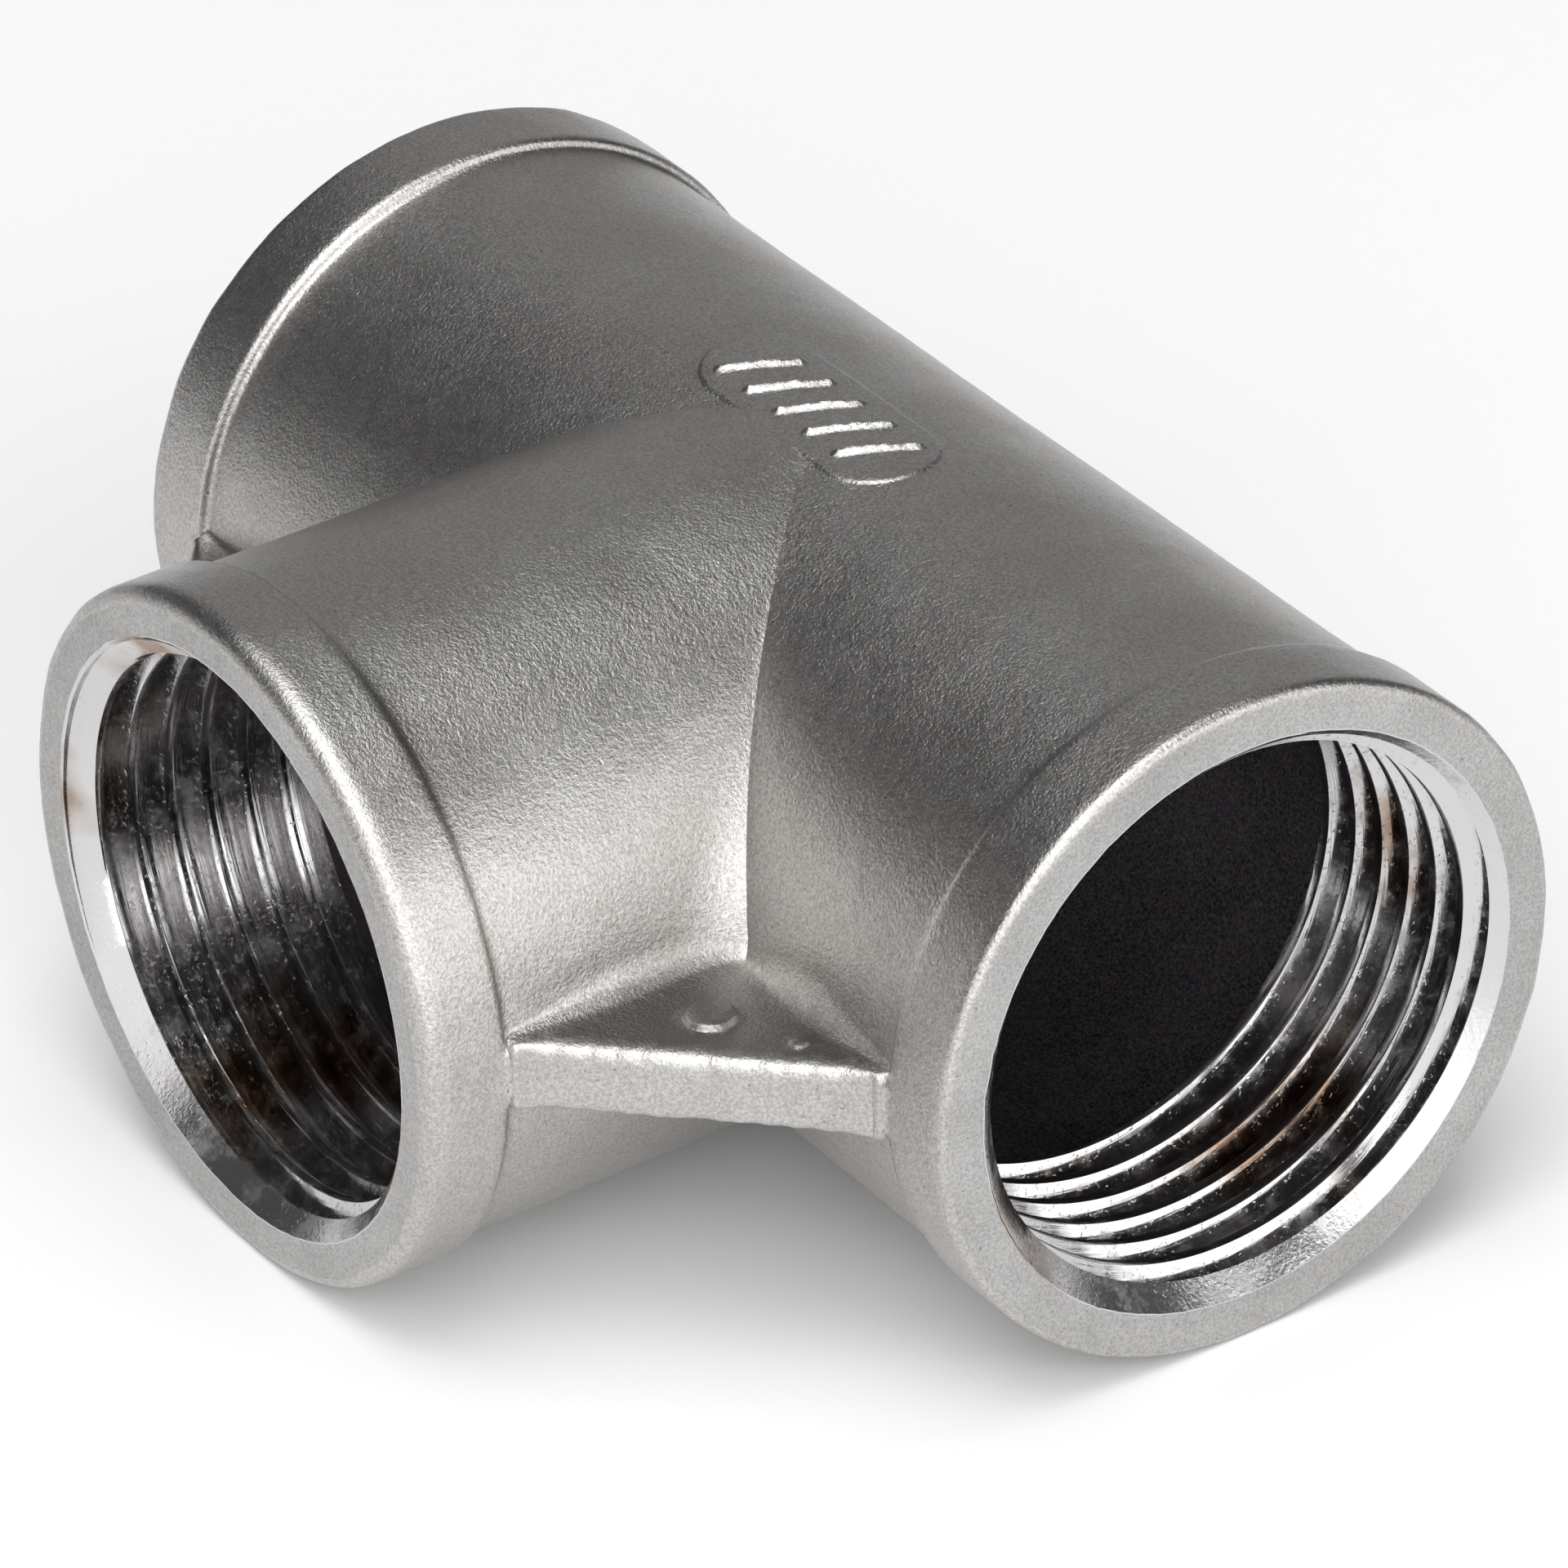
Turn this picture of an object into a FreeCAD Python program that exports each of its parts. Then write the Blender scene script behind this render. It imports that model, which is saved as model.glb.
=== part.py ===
"""Equal 90 degree pipe tee, size 1 inch: one stainless investment casting.

Three equal female ports with parallel pipe thread, a plain band round each mouth, a flat
web across each crotch, and a low pad with plain slanted ribs on top of the run.
The tee lies with all three axes level. +X runs along the straight-through bore, the branch
leaves along -Y and +Z is up. The origin is under the middle of the casting's box, on the
surface that the bands rest on. Lengths are in millimetres, angles in degrees.
"""
import FreeCAD, Part
import math
import os

# Casting, outside
CENTRE_TO_FACE = 38.0       # from the crossing of the axes to each port face
BODY_RADIUS = 18.8          # plain tube between the bands
BAND_RADIUS = 19.4          # band round each mouth
BAND_LENGTH = 4.9
BAND_STEP_ROUND = 0.3       # hollow and crown of the step from tube to band
FACE_EDGE_ROUND = 0.6       # outer corner of each port face

# Casting, inside
CAVITY_RADIUS = 16.7        # as-cast waterway behind the threads

# Pipe thread: 11 threads per inch, 55 degree flanks, the same in every port
PITCH = 25.4 / 11.0
MAJOR_RADIUS = 33.249 / 2.0
BORE_RADIUS = 30.75 / 2.0   # bored before tapping, so it is the crest of the thread
FLANK_ANGLE = 27.5          # each flank from the plane square to the axis
ROOT_FLAT = PITCH / 6.0
MOUTH_RADIUS = 16.7         # outer edge of the 45 degree lead-in
THREAD_END = 14.5           # depth of the last of the bore from the face
START_ANGLE = -104.0        # clock position where the groove's middle crosses the face
GROOVE_LEAD = 1.4           # how far the cutter starts outside the face
GROOVE_OPEN_RADIUS = 15.0   # inner edge of the cutter, clear inside the bore

# Webs in the two crotches
WEB_THICKNESS = 4.0
WEB_REACH = 52.4            # x - y along the web's outer face
WEB_ROOT_RADIUS = 17.75     # the web starts inside the casting's wall
WEB_EDGE_ROUND = 0.6

# Round casting marks on top of the web at +X: position, radius and height
WEB_MARKS = ((23.4, -23.4, 1.35, 0.3), (28.2, -20.5, 0.5, 0.15))

# Low pad on top of the run, and its ribs
PAD_LENGTH = 17.4
PAD_WIDTH = 6.7
PAD_HEIGHT = 0.12
PAD_ROOT = 0.5              # how far the pad and the ribs reach down into the casting's wall
RIB_COUNT = 5
RIB_SPACING = 2.75
RIB_LENGTH = 4.9
RIB_WIDTH = 0.75
RIB_SLANT = 28.0
RIB_HEIGHT = 0.3

# Where the crossing of the axes sits in the part's frame
AXIS_HEIGHT = BAND_RADIUS
RUN_OFFSET = (CENTRE_TO_FACE - BAND_RADIUS) / 2.0

X_AXIS = FreeCAD.Vector(1, 0, 0)
Y_AXIS = FreeCAD.Vector(0, 1, 0)
Z_AXIS = FreeCAD.Vector(0, 0, 1)
CENTRE = FreeCAD.Vector(0, 0, 0)
PORT_TURNS = (0.0, 180.0, -90.0)   # +X, -X and -Y ports, turned about Z from +X
CLEARANCE = 1.0                    # how far a shape that cuts or trims runs past the metal


def point(along, radius):
    """A point of a half profile that is turned about the X axis."""
    return FreeCAD.Vector(along, 0, radius)


def turned(edges, angle=360.0):
    """The solid made by turning a closed half profile about the X axis."""
    face = Part.Face(Part.Wire(edges))
    return face.revolve(CENTRE, X_AXIS, angle)


def polygon(points):
    """Straight edges through the points and back to the first."""
    ends = points[1:] + points[:1]
    return [Part.makeLine(start, end) for start, end in zip(points, ends)]


def arc(start, middle, end):
    return Part.Arc(start, middle, end).toShape()


def arm():
    """Solid tube along +X from the crossing to the port face, with its band."""
    diagonal = 1.0 - math.sqrt(0.5)
    step = CENTRE_TO_FACE - BAND_LENGTH
    small = BAND_STEP_ROUND
    corner = FACE_EDGE_ROUND
    tube_end = point(step - small, BODY_RADIUS)
    hollow_middle = point(step - small * diagonal, BODY_RADIUS + small * diagonal)
    step_middle = point(step, BODY_RADIUS + small)
    crown_middle = point(step + small * diagonal, BAND_RADIUS - small * diagonal)
    band_start = point(step + small, BAND_RADIUS)
    band_end = point(CENTRE_TO_FACE - corner, BAND_RADIUS)
    corner_middle = point(CENTRE_TO_FACE - corner * diagonal, BAND_RADIUS - corner * diagonal)
    face_edge = point(CENTRE_TO_FACE, BAND_RADIUS - corner)
    edges = [
        Part.makeLine(point(0, 0), point(0, BODY_RADIUS)),
        Part.makeLine(point(0, BODY_RADIUS), tube_end),
        arc(tube_end, hollow_middle, step_middle),
        arc(step_middle, crown_middle, band_start),
        Part.makeLine(band_start, band_end),
        arc(band_end, corner_middle, face_edge),
        Part.makeLine(face_edge, point(CENTRE_TO_FACE, 0)),
        Part.makeLine(point(CENTRE_TO_FACE, 0), point(0, 0)),
    ]
    return turned(edges)


def placed_at_port(shape, turn):
    copy = shape.copy()
    copy.rotate(CENTRE, Z_AXIS, turn)
    return copy


def web():
    """Flat plate across the crotch between the +X and -Y ports."""
    root = WEB_ROOT_RADIUS
    tip = WEB_REACH - root
    corners = [(root, -root), (tip, -root), (root, -tip)]
    points = [FreeCAD.Vector(x, y, -WEB_THICKNESS / 2.0) for x, y in corners]
    plate = Part.Face(Part.Wire(polygon(points))).extrude(Z_AXIS * WEB_THICKNESS)
    outer = [edge for edge in plate.Edges if is_outer_web_edge(edge)]
    return plate.makeFillet(WEB_EDGE_ROUND, outer)


def is_outer_web_edge(edge):
    """True for the two long edges along the web's outer face."""
    reaches = [vertex.X - vertex.Y for vertex in edge.Vertexes]
    level = abs(edge.Vertexes[0].Z - edge.Vertexes[-1].Z) < 1e-6
    return level and all(abs(reach - WEB_REACH) < 1e-6 for reach in reaches)


def web_marks():
    """Low round pads on the web's upper face."""
    top = WEB_THICKNESS / 2.0
    marks = []
    for x, y, radius, height in WEB_MARKS:
        base = FreeCAD.Vector(x, y, top - height)
        marks.append(Part.makeCylinder(radius, 2.0 * height, base, Z_AXIS))
    return marks


def bar(length, width, height):
    """Upright bar with round ends, centred on Z and standing on the XY plane."""
    half = length / 2.0 - width / 2.0
    radius = width / 2.0
    corners = [
        FreeCAD.Vector(-half, -radius, 0),
        FreeCAD.Vector(half, -radius, 0),
        FreeCAD.Vector(half, radius, 0),
        FreeCAD.Vector(-half, radius, 0),
    ]
    edges = [
        Part.makeLine(corners[0], corners[1]),
        arc(corners[1], FreeCAD.Vector(half + radius, 0, 0), corners[2]),
        Part.makeLine(corners[2], corners[3]),
        arc(corners[3], FreeCAD.Vector(-half - radius, 0, 0), corners[0]),
    ]
    return Part.Face(Part.Wire(edges)).extrude(Z_AXIS * height)


def run_shell(outer_radius):
    """Sleeve along the run, from inside the casting's wall out to the given radius."""
    base = FreeCAD.Vector(-PAD_LENGTH, 0, 0)
    outer = Part.makeCylinder(outer_radius, 2.0 * PAD_LENGTH, base, X_AXIS)
    inner = Part.makeCylinder(BODY_RADIUS - PAD_ROOT, 2.0 * PAD_LENGTH, base, X_AXIS)
    return outer.cut(inner)


def pad():
    """Low pad whose top follows the tube."""
    block = bar(PAD_LENGTH, PAD_WIDTH, BODY_RADIUS + CLEARANCE)
    return block.common(run_shell(BODY_RADIUS + PAD_HEIGHT))


def pad_ribs():
    """Slanted ribs that stand on the pad."""
    shell = run_shell(BODY_RADIUS + PAD_HEIGHT + RIB_HEIGHT)
    ribs = []
    for index in range(RIB_COUNT):
        rib = bar(RIB_LENGTH, RIB_WIDTH, BODY_RADIUS + CLEARANCE)
        rib.rotate(CENTRE, Z_AXIS, 90.0 - RIB_SLANT)
        rib.translate(X_AXIS * RIB_SPACING * (index - (RIB_COUNT - 1) / 2.0))
        ribs.append(rib.common(shell))
    return ribs


def cavity():
    """As-cast waterway: two crossing bores that end behind the threads."""
    reach = CENTRE_TO_FACE - THREAD_END - (CAVITY_RADIUS - BORE_RADIUS)
    run_start = FreeCAD.Vector(-reach, 0, 0)
    run = Part.makeCylinder(CAVITY_RADIUS, 2.0 * reach, run_start, X_AXIS)
    branch = Part.makeCylinder(CAVITY_RADIUS, reach, CENTRE, -Y_AXIS)
    return [run, branch]


def port_bore():
    """Lead-in, bore and back cone of the +X port, as four equal quarters.

    The quarters keep the crest of the thread in short pieces of cylinder.
    """
    lead = MOUTH_RADIUS - BORE_RADIUS
    back = CAVITY_RADIUS - BORE_RADIUS
    bore_end = CENTRE_TO_FACE - THREAD_END
    outside = CENTRE_TO_FACE + CLEARANCE
    points = [
        point(outside, 0),
        point(outside, MOUTH_RADIUS + CLEARANCE),
        point(CENTRE_TO_FACE - lead, BORE_RADIUS),
        point(bore_end, BORE_RADIUS),
        point(bore_end - back, CAVITY_RADIUS),
        point(bore_end - back, 0),
    ]
    quarters = []
    for index in range(4):
        quarter = turned(polygon(points), 90.0)
        quarter.rotate(CENTRE, X_AXIS, 90.0 * index)
        quarters.append(quarter)
    return quarters


def groove_turn():
    """One turn of the right-hand helical cutter, along Z with Z pointing into the port."""
    root_half = ROOT_FLAT / 2.0
    flank_spread = (MAJOR_RADIUS - GROOVE_OPEN_RADIUS) * math.tan(math.radians(FLANK_ANGLE))
    open_half = root_half + flank_spread
    path = Part.Wire(Part.makeHelix(PITCH, PITCH, MAJOR_RADIUS).Edges)
    section = Part.Wire(polygon([
        FreeCAD.Vector(GROOVE_OPEN_RADIUS, 0, -open_half),
        FreeCAD.Vector(MAJOR_RADIUS, 0, -root_half),
        FreeCAD.Vector(MAJOR_RADIUS, 0, root_half),
        FreeCAD.Vector(GROOVE_OPEN_RADIUS, 0, open_half),
    ]))
    return path.makePipeShell([section], True, True)


def thread_groove():
    """Turns of the +X port's thread, from outside the face to behind the bore."""
    back = CAVITY_RADIUS - BORE_RADIUS
    depth = GROOVE_LEAD + THREAD_END + back + PITCH / 2.0
    first_angle = START_ANGLE - 360.0 * GROOVE_LEAD / PITCH
    single = groove_turn()
    turns = []
    for index in range(math.ceil(depth / PITCH)):
        turn = single.copy()
        turn.rotate(CENTRE, Z_AXIS, first_angle)
        turn.translate(Z_AXIS * (PITCH * index - GROOVE_LEAD))
        turn.rotate(CENTRE, Y_AXIS, -90.0)
        turn.translate(X_AXIS * CENTRE_TO_FACE)
        turns.append(turn)
    return turns


def casting():
    """The whole tee, centred on the crossing of its axes."""
    arms = [placed_at_port(arm(), turn) for turn in PORT_TURNS]
    near_web = web()
    far_web = near_web.mirror(CENTRE, X_AXIS)
    outside = arms[0].fuse(arms[1:] + [near_web, far_web] + web_marks())
    outside = outside.removeSplitter()
    outside = outside.fuse([pad()] + pad_ribs())
    bores = [placed_at_port(quarter, turn) for turn in PORT_TURNS for quarter in port_bore()]
    tee = outside.cut(cavity() + bores)
    for turn in PORT_TURNS:
        for groove in thread_groove():
            tee = tee.cut(placed_at_port(groove, turn))
    return tee


def main():
    os.makedirs("parts", exist_ok=True)
    tee = casting()
    tee.translate(FreeCAD.Vector(0, RUN_OFFSET, AXIS_HEIGHT))
    solid = tee.Solids[0]
    box = solid.optimalBoundingBox()
    print("solids", len(tee.Solids), "valid", solid.isValid(), "volume", round(solid.Volume, 1))
    print("size", round(box.XLength, 3), round(box.YLength, 3), round(box.ZLength, 3))
    solid.exportStep("parts/tee_body.step")


main()
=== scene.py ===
"""Looks of an equal pipe tee: one stainless investment casting with three threaded ports.

The casting is one closed mesh, built in millimetres about the crossing of its axes. Lines run
along it, each at one height: on the run's back they are straight, and on the front half lines
of the run and of the branch meet at the crease of the crotch. The branch flares out towards
that crease, and the flare fades out towards the top and bottom. Each port is a grid of rows and
columns that goes over the band and the face and down the thread. The pad on top and the flat
sides of the webs are filled with triangles that follow the outline of each raised mark.
"""
import math

import bmesh
import bpy
import numpy as np
from mathutils import Euler, Matrix, Vector, noise
from mathutils.geometry import delaunay_2d_cdt


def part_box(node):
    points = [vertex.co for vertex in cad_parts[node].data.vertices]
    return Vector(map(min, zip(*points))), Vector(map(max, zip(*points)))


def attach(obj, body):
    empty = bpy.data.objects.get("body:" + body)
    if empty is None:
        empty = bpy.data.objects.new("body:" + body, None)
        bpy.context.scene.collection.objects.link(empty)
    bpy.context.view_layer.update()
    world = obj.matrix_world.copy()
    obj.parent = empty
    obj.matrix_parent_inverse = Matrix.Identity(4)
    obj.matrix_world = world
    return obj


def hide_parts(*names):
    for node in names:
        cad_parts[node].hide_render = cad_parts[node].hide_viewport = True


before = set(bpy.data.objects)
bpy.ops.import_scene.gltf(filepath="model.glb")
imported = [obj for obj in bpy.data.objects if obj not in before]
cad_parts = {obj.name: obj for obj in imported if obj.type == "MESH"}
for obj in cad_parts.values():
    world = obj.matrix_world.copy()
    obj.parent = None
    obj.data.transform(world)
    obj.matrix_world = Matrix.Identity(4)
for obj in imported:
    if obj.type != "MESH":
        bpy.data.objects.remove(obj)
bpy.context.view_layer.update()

MM = 0.001
CAD_NODE = "tee_body"

# Sizes in millimetres: the three that the frame gives come first
low_corner, high_corner = (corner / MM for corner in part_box(CAD_NODE))
CENTRE_TO_FACE = high_corner.x
BAND_RADIUS = (high_corner.z - low_corner.z) / 2.0
CROSSING = Vector((0.0, high_corner.y - BAND_RADIUS, low_corner.z + BAND_RADIUS))

# Bands at the mouths, and the step from band to tube
BAND_LENGTH = 4.9
BAND_HEIGHT = 0.6
TUBE_RADIUS = BAND_RADIUS - BAND_HEIGHT
STEP_ROUND = BAND_HEIGHT / 2.0
STEP_LENGTH = 0.5
# Round of each face's outer edge: mean, how much it varies round the port, and where it is largest
FACE_ROUNDS = {
    "right": (0.45, 0.12, math.radians(20.0)),
    "left": (0.6, 0.2, math.radians(200.0)),
    "branch": (0.85, 0.3, math.radians(35.0)),
}
# Nicks in a face's inner rim: clock angle in degrees, push outward and half width
RIM_NICKS = {"right": ((-79.4, -0.24, 0.32), (-82.0, 0.16, 0.3))}
DENT_DEPTH = 0.4
# Unevenness of a face's round and of its inner rim: height, and how finely it varies
FACE_WAVE = 0.12
FACE_WAVE_SIZE = 5.0
RIM_WAVE = 0.05
RIM_WAVE_SIZE = 24.0
# How far outside the cavity's radius the rim starts
RIM_GAP = 0.08
TUBE_END = CENTRE_TO_FACE - BAND_LENGTH - STEP_LENGTH
# The branch's flare at the crotch: radius and turn at mid height, and how fast it fades
FLARE_RADIUS = 6.4
FLARE_TURN = math.radians(36.0)
FLARE_FADE = 4.0
# The run's rows start their even spacing this share of the flare's reach past the crease
RUN_START_SHARE = 0.5

# Cavity, thread and bore, with depths measured from the face
CAVITY_RADIUS = 16.7
CAVITY_CORNER = 1.2
PITCH = 25.4 / 11.0
ROOT_RADIUS = 33.249 / 2.0
BORE_RADIUS = 30.75 / 2.0
FLANK = math.radians(27.5)
ROOT_FLAT = PITCH / 6.0
START_ANGLE = math.radians(-104.0)
CREST_BURR = 0.03
CREST_MARGIN = 0.12
BORE_END = 14.5
BORE_END_WAVE = 0.16
BORE_END_WAVE_SIZE = 14.0
THREAD_DEPTH = BORE_END + CAVITY_RADIUS - BORE_RADIUS
CAVITY_END = CENTRE_TO_FACE - THREAD_DEPTH
CONE_TOLERANCE = 0.03

# Webs: half thickness, where the outer edge lies (along plus away), root fillet and edge round.
# The fillet grows from half size at the crease, and both are at most a share of the width
WEB_HALF = 2.0
WEB_REACH = 52.4
WEB_FILLET = 1.7
WEB_FILLET_SHARE = 0.3
WEB_FILLET_GROWTH = 0.35
WEB_FILLET_ROOM = 1.12
WEB_EDGE = 0.75
WEB_EDGE_SHARE = 0.3
WEB_EDGE_WEAR = 0.3
WEAR_PER_MM = 1.1
# Round marks on the right web's top: plan place, radius and rise
WEB_MARKS = ((23.4, -23.4, 1.35, 0.3), (28.1, -21.2, 0.45, 0.15))
MARK_WALL = 0.3

# Pad on top of the casting, and the slanted ribs on it
PAD_LENGTH = 17.4
PAD_WIDTH = 6.7
PAD_HEIGHT = 0.12
PAD_WALL = 0.3
PAD_HALF_HOLE = 4.2
RIB_COUNT = 5
RIB_SPACING = 2.75
RIB_LENGTH = 4.9
RIB_WIDTH = 0.66
RIB_FOOT = 0.2
RIB_HEIGHT = 0.27
RIB_WEAR = 0.3
RIB_WEAR_PER_MM = 2.4
RIB_RINGS = (0.0, 0.09, 0.18, 0.27, 0.36, 0.46)
RIB_SLANT = math.radians(28.0)
BLEND_AT_CREASE = 0.09

# How finely the lines and rows divide the casting
ARC_ROWS = 6
STRAIGHT_ROWS = 34
PAD_ROWS = 9
TOP_LINES = 6
SIDE_LINES = 34
ROUND_STEPS = 4
WEB_FACE_LINES = 3
CAVITY_ARC_ROWS = 3
CAVITY_ROWS = 8
BAND_ROWS = 7
FACE_ROWS = 5
WELD = 0.008
# Triangles of the filled patches: their size, the distance between their rows as a share of it,
# and how far loose points stay from the outline and from the marks, also as shares
PAD_SPACING = 0.42
WEB_SPACING = 0.6
ROW_SHARE = 0.866
OUTLINE_GAP = 0.45
MARK_GAP = 0.55
WALL_SHARES = (-0.5, -0.25, 0.0, 0.25, 0.5)
SHARP_ANGLE = math.radians(34.0)
# Turn of each port from +X
PORT_TURNS = {"right": 0.0, "left": math.pi, "branch": -math.pi / 2.0}

# Material of each face, in the order of the casting's material slots
CAST, CUT_RUN, CUT_BRANCH, FACE, CAVITY, LEAD_IN = range(6)


def steps(count):
    """Evenly spaced values from 0 to 1, with the first left out."""
    return np.arange(1, count + 1) / count


def spread(t):
    """Spacing of rows along a line: closer together next to the crotch."""
    return t * (0.62 + 0.38 * t)


# ---- lines that turn a corner -------------------------------------------------------------

def corner_line(offset, rounding, end, arc_rows, straight_rows):
    """One half of a line that turns the crotch: (along the run, away from the run's axis).

    offset is the line's distance from both axes in plan. The values may be arrays of shape
    (lines, 1). The other half is the same with its two coordinates exchanged.
    """
    turn = math.pi / 4.0 * (1.0 - np.arange(arc_rows) / arc_rows)
    arc_along = offset + rounding * (1.0 - np.sin(turn))
    arc_away = offset + rounding * (1.0 - np.cos(turn))
    t = spread(np.arange(straight_rows + 1) / straight_rows)
    start = offset + rounding
    along = start + (end - start) * t
    away = offset + 0.0 * along
    return np.concatenate([arc_along, along], axis=-1), np.concatenate([arc_away, away], axis=-1)


def tube_line(height, side):
    """Outside line of the casting at a height above or below the axes, without web.

    The branch flares out towards the run and meets it at a crease, where both halves start.
    """
    offset = np.sqrt(np.maximum(TUBE_RADIUS ** 2 - np.asarray(height, float) ** 2, 0.0))
    full_turn = FLARE_TURN * (offset / TUBE_RADIUS) ** FLARE_FADE
    reach = FLARE_RADIUS * np.sin(full_turn)
    crease = offset + FLARE_RADIUS * (1.0 - np.cos(full_turn))
    share = np.arange(ARC_ROWS) / ARC_ROWS
    if side == "run":
        start = crease + RUN_START_SHARE * reach
        arc_along = crease + RUN_START_SHARE * reach * share
        arc_away = offset + 0.0 * arc_along
    else:
        start = offset + reach
        turn = full_turn * (1.0 - share)
        arc_along = start - FLARE_RADIUS * np.sin(turn)
        arc_away = offset + FLARE_RADIUS * (1.0 - np.cos(turn))
    along = start + (TUBE_END - start) * spread(np.arange(STRAIGHT_ROWS + 1) / STRAIGHT_ROWS)
    away = offset + 0.0 * along
    return np.concatenate([arc_along, along], axis=-1), np.concatenate([arc_away, away], axis=-1)


def web_measures(side):
    """Per row: plan points of the web's outer edge, its width, root fillet and edge round."""
    along, away = tube_line(np.array([[WEB_HALF]]), side)
    along, away = along[0], away[0]
    run = np.hypot(np.diff(along), np.diff(away))
    u = np.concatenate([[0.0], np.cumsum(run)]) / run.sum()
    edge_along = WEB_REACH / 2.0 + (TUBE_END - WEB_REACH / 2.0) * u
    edge_away = WEB_REACH - edge_along
    width = np.hypot(edge_along - along, edge_away - away)
    fillet = WEB_FILLET * (0.5 + 0.5 * smooth(u / WEB_FILLET_GROWTH))
    fillet = np.minimum(fillet, WEB_FILLET_SHARE * width)
    lumps = np.array([noise.noise(Vector((WEAR_PER_MM * a, WEAR_PER_MM * b, 4.0)))
                      for a, b in zip(edge_along, edge_away)])
    edge = np.minimum(WEB_EDGE * (1.0 + WEB_EDGE_WEAR * lumps), WEB_EDGE_SHARE * width)
    return edge_along, edge_away, width, fillet, edge


def web_line(side, share, fillets, edges, level, fillet_level, edge_level):
    """One line on the web. Its distance out from the tube and its height are sums of the
    web's width, root fillet and edge round, each times the number given for it."""
    edge_along, edge_away, width, fillet, edge = web_measures(side)
    out = (share * width + fillets * fillet + edges * edge) / width
    height = level * WEB_HALF + fillet_level * fillet + edge_level * edge
    offset = np.sqrt(TUBE_RADIUS ** 2 - height ** 2)
    flat_along, flat_away = tube_line(np.array([[WEB_HALF]]), side)
    shift = offset - math.sqrt(TUBE_RADIUS ** 2 - WEB_HALF ** 2)
    along = flat_along[0] + np.where(np.arange(along_count()) <= ARC_ROWS, shift, 0.0)
    away = flat_away[0] + shift
    return np.stack([along + (edge_along - along) * out, away + (edge_away - away) * out, height])


def along_count():
    return ARC_ROWS + STRAIGHT_ROWS + 1


def front_lines(side):
    """All lines of half the front, top to bottom, as (lines, rows, 3), and the web strips.

    side is "run" or "branch".
    The three values are along the run, away from the run's axis, and height.
    """
    top_turn = math.asin(PAD_HALF_HOLE / TUBE_RADIUS)
    web_turn = math.acos((WEB_HALF + WEB_FILLET_ROOM * WEB_FILLET) / TUBE_RADIUS)
    turns = np.concatenate([
        top_turn * np.arange(TOP_LINES) / TOP_LINES,
        top_turn + (web_turn - top_turn) * np.arange(SIDE_LINES + 1) / SIDE_LINES,
    ])
    heights = TUBE_RADIUS * np.cos(turns)[:, None]
    along, away = tube_line(heights, side)
    upper = np.stack([along, away, heights + 0.0 * along], axis=-1)
    lower = upper[::-1] * (1.0, 1.0, -1.0)
    # Above the pad's edge the rows keep the spacing of the line along that edge
    rim = upper[TOP_LINES]
    for index in range(TOP_LINES):
        share = math.sin(turns[index]) * TUBE_RADIUS / PAD_HALF_HOLE
        upper[index, :, 0] = rim[:, 0]
        upper[index, :, 1] = rim[:, 1] * share
    web = []
    for turn in np.arange(ROUND_STEPS + 1) / ROUND_STEPS * math.pi / 2.0:
        web.append(web_line(side, 0.0, 1.0 - math.cos(turn), 0.0, 1.0, 1.0 - math.sin(turn), 0.0))
    for turn in np.arange(ROUND_STEPS + 1) / ROUND_STEPS * math.pi / 2.0:
        web.append(web_line(side, 1.0, 0.0, math.sin(turn) - 1.0, 1.0, 0.0, math.cos(turn) - 1.0))
    web = np.stack(web).transpose(0, 2, 1)
    between = [web[-1] * (1.0, 1.0, 1.0 - 2.0 * t) for t in steps(WEB_FACE_LINES + 1)[:-1]]
    web_all = np.concatenate([web, np.stack(between), web[::-1] * (1.0, 1.0, -1.0)])
    lines = np.concatenate([upper, web_all, lower])
    first = len(upper) + ROUND_STEPS
    last = len(upper) + len(web_all) - 2 - ROUND_STEPS
    return lines, (first, last), (len(upper), len(upper) + len(web_all))


def back_lines(rim_rows, floor_rows):
    """Lines of the run's back from top to bottom. Their rows meet the front's at both ends."""
    top_turn = math.asin(PAD_HALF_HOLE / TUBE_RADIUS)
    turns = np.concatenate([
        top_turn * np.arange(TOP_LINES) / TOP_LINES,
        top_turn + (math.pi - top_turn) * np.arange(2 * SIDE_LINES + 5) / (2 * SIDE_LINES + 4),
    ])
    hole_end = rim_rows[ARC_ROWS + PAD_ROWS]
    top = np.concatenate([
        hole_end * np.arange(PAD_ROWS) / PAD_ROWS,
        rim_rows[ARC_ROWS + PAD_ROWS:],
    ])
    bottom = floor_rows[ARC_ROWS:]
    share = (turns / math.pi)[:, None]
    along = top * (1.0 - share) + bottom * share
    away = -TUBE_RADIUS * np.sin(turns)[:, None] + 0.0 * along
    height = TUBE_RADIUS * np.cos(turns)[:, None] + 0.0 * along
    return np.stack([along, away, height], axis=-1), turns


# ---- ports ----------------------------------------------------------------------------------

def rough(angle, seed, size):
    """Uneven value for each angle round a port, the same at 0 and 360 degrees."""
    values = [
        noise.fractal(Vector((size * math.cos(a), size * math.sin(a), seed)), 0.6, 2.0, 3)
        for a in angle
    ]
    return np.array(values)


def rim_dents(side, clock):
    """How far the inner rim of a face is pushed outward at each clock angle, in millimetres."""
    dents = RIM_WAVE * rough(clock, 3.0 + PORT_TURNS[side], RIM_WAVE_SIZE)
    for place, depth, width in RIM_NICKS.get(side, ()):
        turn = (clock - math.radians(place) + math.pi) % (2.0 * math.pi) - math.pi
        dents = dents + depth * np.exp(-(turn * CAVITY_RADIUS / width) ** 2)
    return dents


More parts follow.
